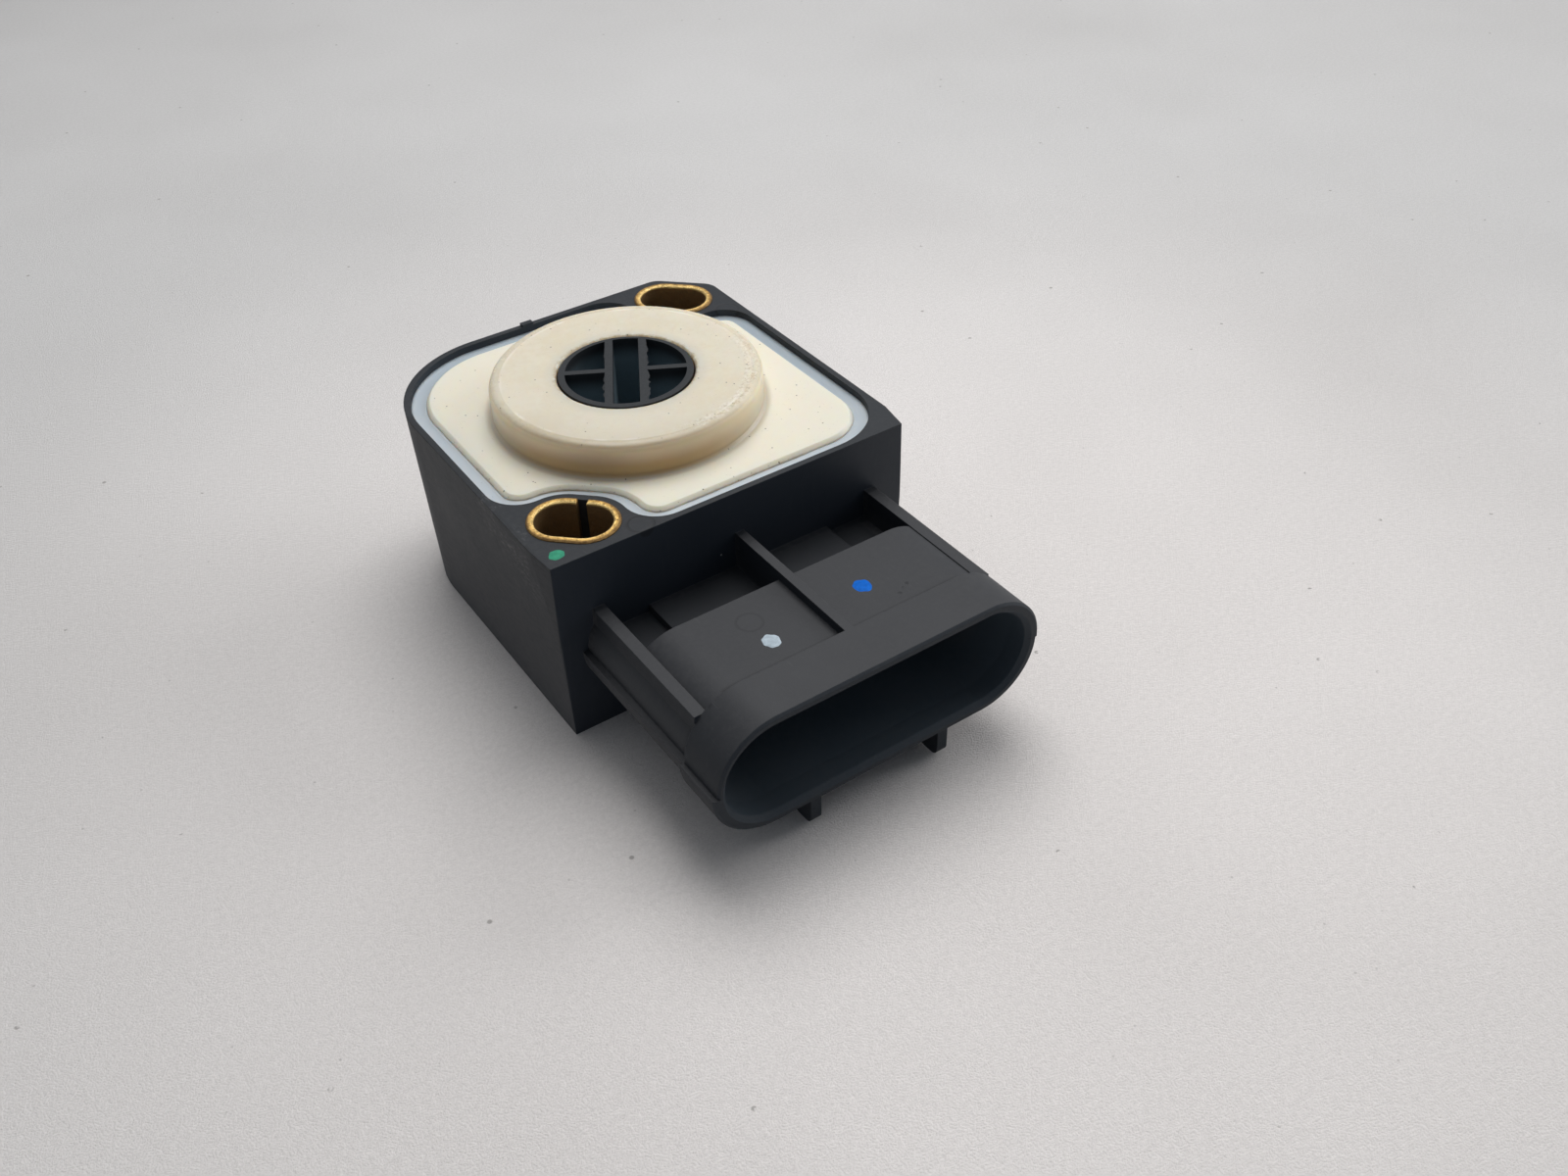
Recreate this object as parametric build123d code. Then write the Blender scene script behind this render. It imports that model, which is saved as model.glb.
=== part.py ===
from build123d import *
import math
import os

# Throttle position sensor, in millimetres.
# The rotor turns about Z through the origin, the flat base is at Z = 0 and the connector points to -Y.

# Housing outline, measured at its rim
housing_width = 48.5
housing_depth = 49.2
housing_height = 25.4
housing_draft = 1.7
rear_left_radius = 14.6
rear_right_blend = 2.5
front_corner_radius = 0.4
corner_facet_length = 4.2
left_facet_depth = 0.35
right_facet_depth = 0.8
corner_facet_height = 12.4
gate_mark_width = 1.6
gate_mark_height = 0.35
gate_mark_place = -1.7

# Walls and ledges inside the housing
rim_thickness = 0.8
recess_corner_radius = 4.3
recess_front_right_radius = 8.5
recess_depth = 2.8
ledge_width = 1.6
shelf_width = 1.5
floor_thickness = 2.5
bearing_wall = 3.0
bearing_height = 6.5

# Slotted mounting sleeves at two opposite corners
slot_length = 9.0
slot_width = 6.3
sleeve_wall = 0.85
sleeve_split = 1.2
sleeve_stand = 0.25
sleeve_edge_chamfer = 0.15
sleeve_boss_wall = 0.95
slot_inset_x = 6.55
slot_inset_y = 6.2

# Cover plate with its round pilot boss
sealant_width = 1.9
sealant_depth = 1.0
plate_depth = 0.3
plate_edge_chamfer = 0.45
boss_radius = 16.7
boss_height = 4.0
boss_top_round = 0.85
boss_root_round = 0.7
boss_roof = 2.0
boss_wall = 1.8
bore_radius = 8.5
bore_chamfer = 0.25
bearing_tube_wall = 2.4

# Rotor with its drive slot
rotor_gap = 0.2
rotor_recess = 0.05
rotor_ring_wall = 0.85
rotor_pocket_stretch = 0.4
drive_slot_width = 3.2
drive_bar_thickness = 1.0
cross_rib_thickness = 0.9
cross_rib_shift = 0.35
pocket_floor = 0.8
flange_reach = 5.2
flange_thickness = 1.5
journal_radius = 4.0
journal_clearance = 0.05
journal_end_gap = 0.05
drive_slot_angle = 60.7

# Turning range and its stop
turn_back = 30.0
turn_ahead = 60.0
stop_angle = 250.0
stop_width_angle = 14.0
stop_spare_angle = 0.6
stop_radial_depth = 2.3
stop_clearance = 0.3

# Seal and spring washer on the rotor
seal_width = 1.5
seal_side_room = 0.1
seal_clearance = 0.03
seal_shoulder = 0.6
washer_thickness = 0.25
washer_space = 1.1
washer_width = 1.6

# Track board and wipers
board_thickness = 1.0
board_clearance = 0.1
board_hole_clearance = 1.0
track_thickness = 0.1
track_width = 2.6
track_radius = 10.0
track_end_angle = 12.0
wiper_height = 2.1
wiper_width = 1.8
wiper_strip = 0.2
wiper_pad_length = 3.0
wiper_finger_length = 4.0
wiper_tip_length = 0.8
wiper_clearance = 0.04

# Connector shroud
connector_height = 12.15
mouth_reach = 52.2
collar_length = 6.6
neck_rear_reach = 33.2
opening_width = 40.2
opening_height = 12.3
collar_wall = 1.4
neck_wall = 1.2
neck_step = 1.2
neck_side_step = 0.6
neck_low_step = 0.45
socket_back_wall = 1.6
seal_bore_depth = 3.0
socket_taper_length = 8.0
lip_chamfer = 0.55
collar_edge_chamfer = 0.3
upper_half_shift = 0.3
lower_half_shift = -0.1
lower_half_spare = 0.4
centre_rib_thickness = 1.2
side_rail_place = 18.85
side_rail_thickness = 1.5
side_rail_height = 5.6
pocket_floor_width = 25.0
pocket_floor_rise = 2.6
pocket_side_floor_rise = 1.6
guide_rib_place = 8.8
guide_rib_thickness = 1.4
guide_rib_clearance = 0.4
guide_rib_setback = 0.6
guide_rib_round = 1.0
lock_ramp_width = 6.0
lock_ramp_length = 4.2
lock_ramp_height = 1.7
lock_ramp_setback = 1.2

# Terminal blades
terminal_count = 6
terminal_pitch = 4.6
terminal_width = 1.5
terminal_thickness = 0.8
terminal_tip_chamfer = 0.3
terminal_mouth_setback = 7.2
terminal_board_overlap = 2.4
terminal_edge_margin = 0.6
terminal_bend_setback = 1.2

# Fit between pieces that are moulded, pressed or poured together
seat_clearance = 0.02
weld_overlap = 1.5

# Places worked out from the sizes above
half_width = housing_width / 2
half_depth = housing_depth / 2
slot_x = half_width - slot_inset_x
slot_y = half_depth - slot_inset_y
slot_reach = math.hypot(slot_x, slot_y)
slot_direction = math.degrees(math.atan2(slot_y, slot_x))
sleeve_length = slot_length + 2 * sleeve_wall
sleeve_width = slot_width + 2 * sleeve_wall
ledge_level = housing_height - recess_depth
plate_top = housing_height - plate_depth
boss_top = housing_height + boss_height
rotor_top = boss_top - rotor_recess
rotor_radius = bore_radius - rotor_gap
board_top = connector_height - terminal_thickness / 2
board_bottom = board_top - board_thickness
flange_bottom = board_top + wiper_height
flange_top = flange_bottom + flange_thickness
flange_radius = rotor_radius + flange_reach
tube_end = flange_top + washer_space
tube_radius = bore_radius + bearing_tube_wall
seal_outer_radius = bore_radius - seal_clearance
seal_inner_radius = seal_outer_radius - seal_width
seal_groove_radius = seal_inner_radius - seat_clearance
seal_groove_bottom = tube_end + seal_shoulder
seal_groove_height = seal_width + 2 * seal_side_room
pocket_bottom = seal_groove_bottom + seal_groove_height + pocket_floor
bearing_radius = journal_radius + journal_clearance
bearing_top = floor_thickness + bearing_height
collar_rear_reach = mouth_reach - collar_length
socket_back_reach = neck_rear_reach + socket_back_wall
board_front = half_depth - rim_thickness - sealant_width - ledge_width - board_clearance
terminal_inner_end = terminal_board_overlap - board_front
sleeve_half_straight = (sleeve_length - sleeve_width) / 2
sleeve_side_reach = sleeve_width / 2 + sleeve_half_straight * math.sin(math.radians(slot_direction))
board_edge_gap = sleeve_boss_wall + sealant_width + ledge_width + board_clearance
board_front_half_width = slot_x - sleeve_side_reach - board_edge_gap
terminal_row_width = 2 * (board_front_half_width - terminal_edge_margin) - terminal_width
terminal_inner_pitch = terminal_row_width / (terminal_count - 1)
collar_width = opening_width + 2 * collar_wall
collar_height = opening_height + 2 * collar_wall
neck_width = collar_width - 2 * neck_side_step
neck_height = collar_height - 2 * neck_step
collar_low_width = collar_width + lower_half_spare
neck_low_width = collar_low_width - 2 * neck_low_step
neck_low_height = collar_height - 2 * neck_low_step
socket_inset = neck_step + neck_wall - collar_wall
socket_width = opening_width - 2 * socket_inset
socket_height = opening_height - 2 * socket_inset
terminal_steps = [index - (terminal_count - 1) / 2 for index in range(terminal_count)]


def raised(shape, level):
    return Pos(0, 0, level) * shape


def drum(radius, bottom, top):
    return raised(extrude(Circle(radius), amount=top - bottom), bottom)


def tube(outer_radius, inner_radius, bottom, top):
    return raised(extrude(Circle(outer_radius) - Circle(inner_radius), amount=top - bottom), bottom)


def slab(sketch, bottom, top):
    return raised(extrude(sketch, amount=top - bottom), bottom)


def block(x_range, y_range, z_range):
    sizes = [high - low for low, high in (x_range, y_range, z_range)]
    middle = [(high + low) / 2 for low, high in (x_range, y_range, z_range)]
    return Pos(*middle) * Box(*sizes)


def sector(outer_radius, inner_radius, middle_angle, spread):
    ring = Circle(outer_radius) - Circle(inner_radius)
    far = 2 * outer_radius
    half_spread = math.radians(spread / 2)
    tip = (far * math.cos(half_spread), far * math.sin(half_spread))
    wedge = Polygon((0, 0), (tip[0], -tip[1]), (2 * far, 0), tip, align=None)
    return ring & (Rot(0, 0, middle_angle) * wedge)


def round_corner(sketch, corner, count, radius):
    nearest = sketch.vertices().sort_by_distance(Vector(*corner))[:count]
    return fillet(nearest, radius)


# A square corner eased by one flat, and then by two more, that touch a round of the given radius

first_turn = math.tan(math.radians(22.5))
second_turn = math.tan(math.radians(11.25))


def flat_corner(sketch, corner, radius):
    square = sketch.vertices().sort_by_distance(Vector(*corner))[:1]
    return chamfer(square, radius * (1 - first_turn))


def eased_corner(sketch, corner, radius):
    eased = flat_corner(sketch, corner, radius)
    blunt = eased.vertices().sort_by_distance(Vector(*corner))[:2]
    return chamfer(blunt, radius * (first_turn - second_turn))


def slot_pair(length, width):
    stadium = Rot(0, 0, slot_direction + 90) * SlotOverall(length, width)
    return [Pos(side * slot_x, side * slot_y) * stadium for side in (-1, 1)]


# Plan outlines shared by the housing, the cover, the sealant and the board

def housing_outline():
    outline = Rectangle(housing_width, housing_depth)
    chamfer_reach = slot_reach + sleeve_width / 2 + sleeve_boss_wall
    cutter = Rectangle(housing_width, 2 * housing_depth, align=(Align.MIN, Align.CENTER))
    outline -= Rot(0, 0, slot_direction) * Pos(chamfer_reach, 0) * cutter
    outline = round_corner(outline, (half_width, half_depth), 2, rear_right_blend)
    outline = round_corner(outline, (-half_width, half_depth), 1, rear_left_radius)
    outline = round_corner(outline, (-half_width, -half_depth), 1, front_corner_radius)
    return round_corner(outline, (half_width, -half_depth), 1, front_corner_radius)


def recess_outline():
    area = offset(housing_outline(), -rim_thickness)
    front_right = (half_width - rim_thickness, rim_thickness - half_depth)
    area = round_corner(area, front_right, 1, recess_front_right_radius)
    boss_size = 2 * sleeve_boss_wall
    for boss in slot_pair(sleeve_length + boss_size, sleeve_width + boss_size):
        area -= boss
    inner_area = area.faces().sort_by(SortBy.AREA)[-1]
    return offset(offset(inner_area, -recess_corner_radius), recess_corner_radius)


recess = recess_outline()
plate = offset(recess, -sealant_width)
chamber = offset(plate, -ledge_width)
lower_chamber = offset(chamber, -shelf_width)


# The two mould halves met a little off line, which leaves a step along both sides of the connector

half_shift = {1: upper_half_shift, -1: lower_half_shift}


def connector_half(width, height, side):
    half = SlotOverall(width, height) & Pos(0, side * height / 2) * Rectangle(width, height)
    return Pos(half_shift[side], connector_height) * half


def stadium_section(width, height):
    return Pos(0, connector_height) * SlotOverall(width, height)


def along_connector(section, start, end):
    return extrude(Plane.XZ.offset(start) * section, amount=end - start)


def bent_strip(step, width, front, rear):
    outer = step * terminal_pitch
    inner = step * terminal_inner_pitch
    bend_front = terminal_bend_setback - socket_back_reach
    bend_rear = -board_front - terminal_bend_setback
    line = ((outer, front), (outer, bend_front), (inner, bend_rear), (inner, rear))
    right_side = [(x + width / 2, y) for x, y in line]
    left_side = [(x - width / 2, y) for x, y in reversed(line)]
    return Polygon(*right_side, *left_side, align=None)


def pocket(half_width, run, face):
    floors = (
        (-half_width, -pocket_floor_width / 2, pocket_side_floor_rise),
        (-pocket_floor_width / 2, pocket_floor_width / 2, pocket_floor_rise),
        (pocket_floor_width / 2, half_width, pocket_side_floor_rise),
    )
    room = []
    for left, right, rise in floors:
        levels = sorted((connector_height + face * rise, connector_height + face * neck_height))
        room.append(block((left, right), run, levels))
    return room


def shroud():
    root = half_depth - weld_overlap - sealant_width
    collar = connector_half(collar_width, collar_height, 1)
    collar += connector_half(collar_low_width, collar_height, -1)
    neck = connector_half(neck_width, neck_height, 1)
    neck += connector_half(neck_low_width, neck_low_height, -1)
    edge_reach = mouth_reach - collar_edge_chamfer
    body = along_connector(collar, collar_rear_reach, edge_reach)
    for side, width in ((-1, collar_low_width), (1, collar_width)):
        whole = Pos(half_shift[side], 0) * stadium_section(width, collar_height)
        edge = extrude(Plane.XZ.offset(edge_reach) * whole, amount=collar_edge_chamfer, taper=45)
        levels = sorted((connector_height, connector_height + side * collar_height))
        body += edge & block((-collar_width, collar_width), (-mouth_reach, -edge_reach), levels)
    body += along_connector(neck, root, collar_rear_reach)
    half_rail = side_rail_thickness / 2
    pocket_run = (-neck_rear_reach, -root)
    pocket_half_width = side_rail_place - half_rail
    for face in (-1, 1):
        body -= pocket(pocket_half_width, pocket_run, face)
    run = (-collar_rear_reach, -root)
    collar_top = connector_height + collar_height / 2
    half_rib = centre_rib_thickness / 2
    body += block((-half_rib, half_rib), run, (connector_height, collar_top))
    for side in (-1, 1):
        middle = side * side_rail_place
        span = (middle - half_rail, middle + half_rail)
        body += block(span, run, (connector_height, connector_height + side_rail_height))
    return body


def underside_guides():
    collar_bottom = connector_height - collar_height / 2
    rib_top = connector_height - socket_height / 2 - neck_wall / 2
    guides = []
    for side in (-1, 1):
        middle = side * guide_rib_place
        span = (middle - guide_rib_thickness / 2, middle + guide_rib_thickness / 2)
        run = (-mouth_reach + guide_rib_setback, -neck_rear_reach)
        rib = block(span, run, (guide_rib_clearance, rib_top))
        low_front_edge = rib.edges().filter_by(Axis.X).group_by(Axis.Z)[0].sort_by(Axis.Y)[0]
        guides.append(fillet(low_front_edge, guide_rib_round))
    ramp_front = -mouth_reach + lock_ramp_setback
    ramp_rear = ramp_front + lock_ramp_length
    ramp = Polygon(
        (ramp_front, collar_bottom),
        (ramp_rear, collar_bottom - lock_ramp_height),
        (ramp_rear, collar_bottom + collar_wall / 2),
        (ramp_front, collar_bottom + collar_wall / 2),
        align=None,
    )
    guides.append(extrude(Plane.YZ * ramp, amount=lock_ramp_width / 2, both=True))
    return guides


def socket():
    bore = stadium_section(opening_width, opening_height)
    bore_end = mouth_reach - seal_bore_depth
    taper_angle = math.degrees(math.atan2(socket_inset, socket_taper_length))
    hollow = along_connector(bore, bore_end, mouth_reach)
    taper_start = Plane.XZ.offset(bore_end) * bore
    hollow += extrude(taper_start, amount=socket_taper_length, dir=(0, 1, 0), taper=taper_angle)
    hollow += along_connector(stadium_section(socket_width, socket_height), socket_back_reach, bore_end)
    lip_section = stadium_section(opening_width + 2 * lip_chamfer, opening_height + 2 * lip_chamfer)
    lip = Plane.XZ.offset(mouth_reach) * lip_section
    return hollow + extrude(lip, amount=lip_chamfer, dir=(0, 1, 0), taper=45)


def corner_facet(side, depth):
    front_edge = Vector(side * (half_width - depth), -half_depth, housing_height)
    side_edge = Vector(side * half_width, corner_facet_length - half_depth, housing_height)
    draft_shift = corner_facet_height * math.tan(math.radians(housing_draft))
    low_edge = Vector(
        side * (half_width - draft_shift),
        draft_shift - half_depth,
        housing_height - corner_facet_height,
    )
    normal = (side_edge - front_edge).cross(low_edge - front_edge)
    if normal.X * side < 0:
        normal = -normal
    return Plane(origin=front_edge, z_dir=normal)


def housing():
    rim = raised(housing_outline(), housing_height)
    body = extrude(rim, amount=housing_height, dir=(0, 0, -1), taper=housing_draft)
    for side, depth in ((-1, left_facet_depth), (1, right_facet_depth)):
        body = split(body, bisect_by=corner_facet(side, depth), keep=Keep.BOTTOM)
    gate_rear = half_depth - rim_thickness
    gate_span = (gate_mark_place - gate_mark_width / 2, gate_mark_place + gate_mark_width / 2)
    gate_levels = (housing_height - recess_depth, housing_height + gate_mark_height)
    body += block(gate_span, (gate_rear, half_depth), gate_levels)
    body += shroud()
    for guide in underside_guides():
        body += guide
    body -= slab(recess, ledge_level, housing_height)
    body -= slab(chamber, board_bottom, ledge_level)
    body -= slab(lower_chamber, floor_thickness, board_bottom)
    body += tube(bearing_radius + bearing_wall, bearing_radius, floor_thickness, bearing_top)
    for hole in slot_pair(sleeve_length + 2 * seat_clearance, sleeve_width + 2 * seat_clearance):
        body -= slab(hole, 0, housing_height + boss_height)
    body -= socket()
    for step in terminal_steps:
        hole_width = terminal_width + 2 * seat_clearance
        hole = bent_strip(step, hole_width, -socket_back_reach, terminal_inner_end + seat_clearance)
        body -= slab(hole, board_top, board_top + terminal_thickness + seat_clearance)
    return body


def pilot_boss():
    foot_radius = boss_radius + 2 * boss_root_round
    profile = Polygon(
        (0, ledge_level),
        (foot_radius, ledge_level),
        (foot_radius, plate_top),
        (boss_radius, plate_top),
        (boss_radius, boss_top),
        (0, boss_top),
        align=None,
    )
    profile = flat_corner(profile, (boss_radius, plate_top), boss_root_round)
    profile = eased_corner(profile, (boss_radius, boss_top), boss_top_round)
    return revolve(Plane.XZ * profile, Axis.Z) & slab(plate, ledge_level, boss_top)


def cover():
    body = slab(plate, ledge_level, plate_top)
    top_edges = body.faces().sort_by(Axis.Z)[-1].edges()
    body = chamfer(top_edges, plate_edge_chamfer)
    body += pilot_boss()
    body += drum(tube_radius, tube_end, ledge_level)
    body -= tube(boss_radius - boss_wall, tube_radius, ledge_level, boss_top - boss_roof)
    body -= drum(bore_radius, tube_end, boss_top)
    body -= raised(Cone(bore_radius, bore_radius + bore_chamfer, bore_chamfer), boss_top - bore_chamfer / 2)
    stop_outer = flange_radius + stop_clearance
    stop_inner = stop_outer - stop_radial_depth
    stop = sector(stop_outer, stop_inner, stop_angle, stop_width_angle)
    return body + slab(stop, flange_bottom, boss_top - boss_roof)


def sealant_bead():
    ring = offset(recess, -seat_clearance) - offset(plate, seat_clearance)
    return slab(ring, ledge_level, housing_height - sealant_depth)


def mounting_sleeve(number):
    outer = slot_pair(sleeve_length, sleeve_width)[number]
    inner = slot_pair(slot_length, slot_width)[number]
    side = (-1, 1)[number]
    split_run = Rectangle(2 * sleeve_wall, sleeve_split)
    split_reach = side * (slot_reach - (slot_width + sleeve_wall) / 2)
    ring = outer - inner - Rot(0, 0, slot_direction) * Pos(split_reach, 0) * split_run
    body = slab(ring, 0, housing_height + sleeve_stand)
    top_edges = body.faces().sort_by(Axis.Z)[-1].edges()
    return chamfer(top_edges, sleeve_edge_chamfer)


def drive_pockets():
    pocket_width = 2 * (rotor_radius - rotor_ring_wall)
    inside = Pos(rotor_pocket_stretch / 2, 0) * SlotCenterToCenter(rotor_pocket_stretch, pocket_width)
    bar_middle = (drive_slot_width + drive_bar_thickness) / 2
    for side in (-1, 1):
        inside -= Pos(0, side * bar_middle) * Rectangle(2 * bore_radius, drive_bar_thickness)
    bar_outer = bar_middle + drive_bar_thickness / 2
    for side in (-1, 1):
        rib_middle = side * (bar_outer + bore_radius / 2)
        inside -= Pos(cross_rib_shift, rib_middle) * Rectangle(cross_rib_thickness, bore_radius)
    return slab(Rot(0, 0, drive_slot_angle) * inside, pocket_bottom, rotor_top)


def rotor():
    body = drum(rotor_radius, flange_top, rotor_top)
    body += drum(flange_radius, flange_bottom, flange_top)
    body += drum(journal_radius, floor_thickness + journal_end_gap, flange_bottom)
    groove_top = seal_groove_bottom + seal_groove_height
    body -= tube(bore_radius, seal_groove_radius, seal_groove_bottom, groove_top)
    notch_inner = flange_radius - stop_radial_depth
    notch_middle = stop_angle + (turn_back - turn_ahead) / 2
    notch_spread = turn_back + turn_ahead + stop_width_angle + 2 * stop_spare_angle
    notch = sector(flange_radius + stop_clearance, notch_inner, notch_middle, notch_spread)
    body -= slab(notch, flange_bottom, flange_top)
    return body - drive_pockets()


def rotor_seal():
    seal_bottom = seal_groove_bottom + seal_side_room
    return tube(seal_outer_radius, seal_inner_radius, seal_bottom, seal_bottom + seal_width)


def spring_washer():
    inner = rotor_radius + rotor_gap
    outer = inner + washer_width
    low = flange_top
    high = tube_end - seat_clearance
    strip = Polygon(
        (inner, low),
        (inner, low + washer_thickness),
        (outer, high),
        (outer, high - washer_thickness),
        align=None,
    )
    return revolve(Plane.XZ * strip, Axis.Z)


def wiper(angle):
    rise = wiper_height - track_thickness - wiper_clearance
    half_strip = wiper_strip / 2
    top = -half_strip
    bottom = half_strip - rise
    line = Polyline(
        (-wiper_pad_length, top),
        (0, top),
        (wiper_finger_length, bottom),
        (wiper_finger_length + wiper_tip_length, bottom + wiper_tip_length),
    )
    strip = trace(line, wiper_strip)
    arm = extrude(Plane.XZ * strip, amount=wiper_width / 2, both=True)
    return Rot(0, 0, angle) * Pos(0, track_radius, flange_bottom) * arm


def track_board():
    outline = offset(chamber, -board_clearance) - Circle(journal_radius + board_hole_clearance)
    body = slab(outline, board_bottom, board_top)
    spread = turn_back + turn_ahead + 4 * track_end_angle
    for wiper_angle in wiper_angles:
        middle = wiper_angle + 90 + (turn_ahead - turn_back) / 2 - track_end_angle
        arc = sector(track_radius + track_width / 2, track_radius - track_width / 2, middle, spread)
        body += slab(arc, board_top, board_top + track_thickness)
    return body


def terminal(step):
    strip = bent_strip(step, terminal_width, terminal_mouth_setback - mouth_reach, terminal_inner_end)
    blade = slab(strip, board_top, board_top + terminal_thickness)
    tip = blade.faces().sort_by(Axis.Y)[0].edges()
    return chamfer(tip, terminal_tip_chamfer)


wiper_angles = (stop_angle, stop_angle + 180)

pieces = {
    "housing": housing(),
    "cover": cover(),
    "sealant_bead": sealant_bead(),
    "front_mounting_sleeve": mounting_sleeve(0),
    "rear_mounting_sleeve": mounting_sleeve(1),
    "rotor": rotor(),
    "rotor_seal": rotor_seal(),
    "spring_washer": spring_washer(),
    "signal_wiper": wiper(wiper_angles[0]),
    "idle_wiper": wiper(wiper_angles[1]),
    "track_board": track_board(),
}
for index, step in enumerate(terminal_steps):
    pieces["terminal_" + str(index + 1)] = terminal(step)

os.makedirs("parts", exist_ok=True)
for name, piece in pieces.items():
    export_step(piece, "parts/" + name + ".step")
    print(name, round(piece.volume, 2))
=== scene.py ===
import math

import bmesh
import bpy
from mathutils import Matrix, Vector, noise


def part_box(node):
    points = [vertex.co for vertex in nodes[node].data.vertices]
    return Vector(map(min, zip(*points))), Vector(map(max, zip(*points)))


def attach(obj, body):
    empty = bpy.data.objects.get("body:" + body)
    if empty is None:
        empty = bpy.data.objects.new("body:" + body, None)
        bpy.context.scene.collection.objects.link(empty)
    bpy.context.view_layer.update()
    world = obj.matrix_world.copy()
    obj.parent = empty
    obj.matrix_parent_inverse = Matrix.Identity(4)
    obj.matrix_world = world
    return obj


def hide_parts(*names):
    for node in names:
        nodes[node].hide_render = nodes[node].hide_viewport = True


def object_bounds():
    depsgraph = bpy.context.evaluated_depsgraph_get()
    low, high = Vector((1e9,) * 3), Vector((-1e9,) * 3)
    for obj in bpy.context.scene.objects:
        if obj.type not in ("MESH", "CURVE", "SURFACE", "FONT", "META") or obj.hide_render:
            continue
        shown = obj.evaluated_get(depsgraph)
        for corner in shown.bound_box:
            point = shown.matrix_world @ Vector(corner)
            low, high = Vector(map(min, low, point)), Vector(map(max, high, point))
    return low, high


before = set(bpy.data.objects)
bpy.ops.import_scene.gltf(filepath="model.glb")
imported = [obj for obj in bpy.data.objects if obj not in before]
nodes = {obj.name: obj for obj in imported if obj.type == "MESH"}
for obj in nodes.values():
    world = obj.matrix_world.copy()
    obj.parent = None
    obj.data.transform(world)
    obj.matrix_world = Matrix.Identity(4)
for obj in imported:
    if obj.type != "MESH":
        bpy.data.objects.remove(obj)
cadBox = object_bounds()
mm = 0.001  # sizes below are in millimetres, Blender's are in metres
even = (1.0, 1.0, 1.0)  # a pattern that isn't stretched
up = (0.0, 0.0, 1.0)
toLeft = (-1.0, 0.0, 0.0)
toFront = (0.0, -1.0, 0.0)
noiseMiddle = 0.5
patternShape = {
    "speckCore": 0.5,  # the solid share of a speck, the rest fades
    "spotCore": 0.6,
    "edgeTurn": (0.01, 0.2),  # how far a rounded normal turns away at an edge
    "softSamples": 4,
}
print("frame loaded,", len(nodes), "pieces")


class Sock:  # one output of a node; sums with it add Math nodes
    def __init__(self, finish, socket):
        self.finish = finish
        self.socket = socket

    def maths(self, operation, first, second):
        return self.finish.node("Math", {"operation": operation}, {0: first, 1: second})

    def __add__(self, other):
        return self.maths("ADD", self, other)

    def __radd__(self, other):
        return self.maths("ADD", other, self)

    def __sub__(self, other):
        return self.maths("SUBTRACT", self, other)

    def __rsub__(self, other):
        return self.maths("SUBTRACT", other, self)

    def __mul__(self, other):
        return self.maths("MULTIPLY", self, other)

    def __rmul__(self, other):
        return self.maths("MULTIPLY", other, self)

    def __truediv__(self, other):
        return self.maths("DIVIDE", self, other)

    def __rtruediv__(self, other):
        return self.maths("DIVIDE", other, self)


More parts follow.
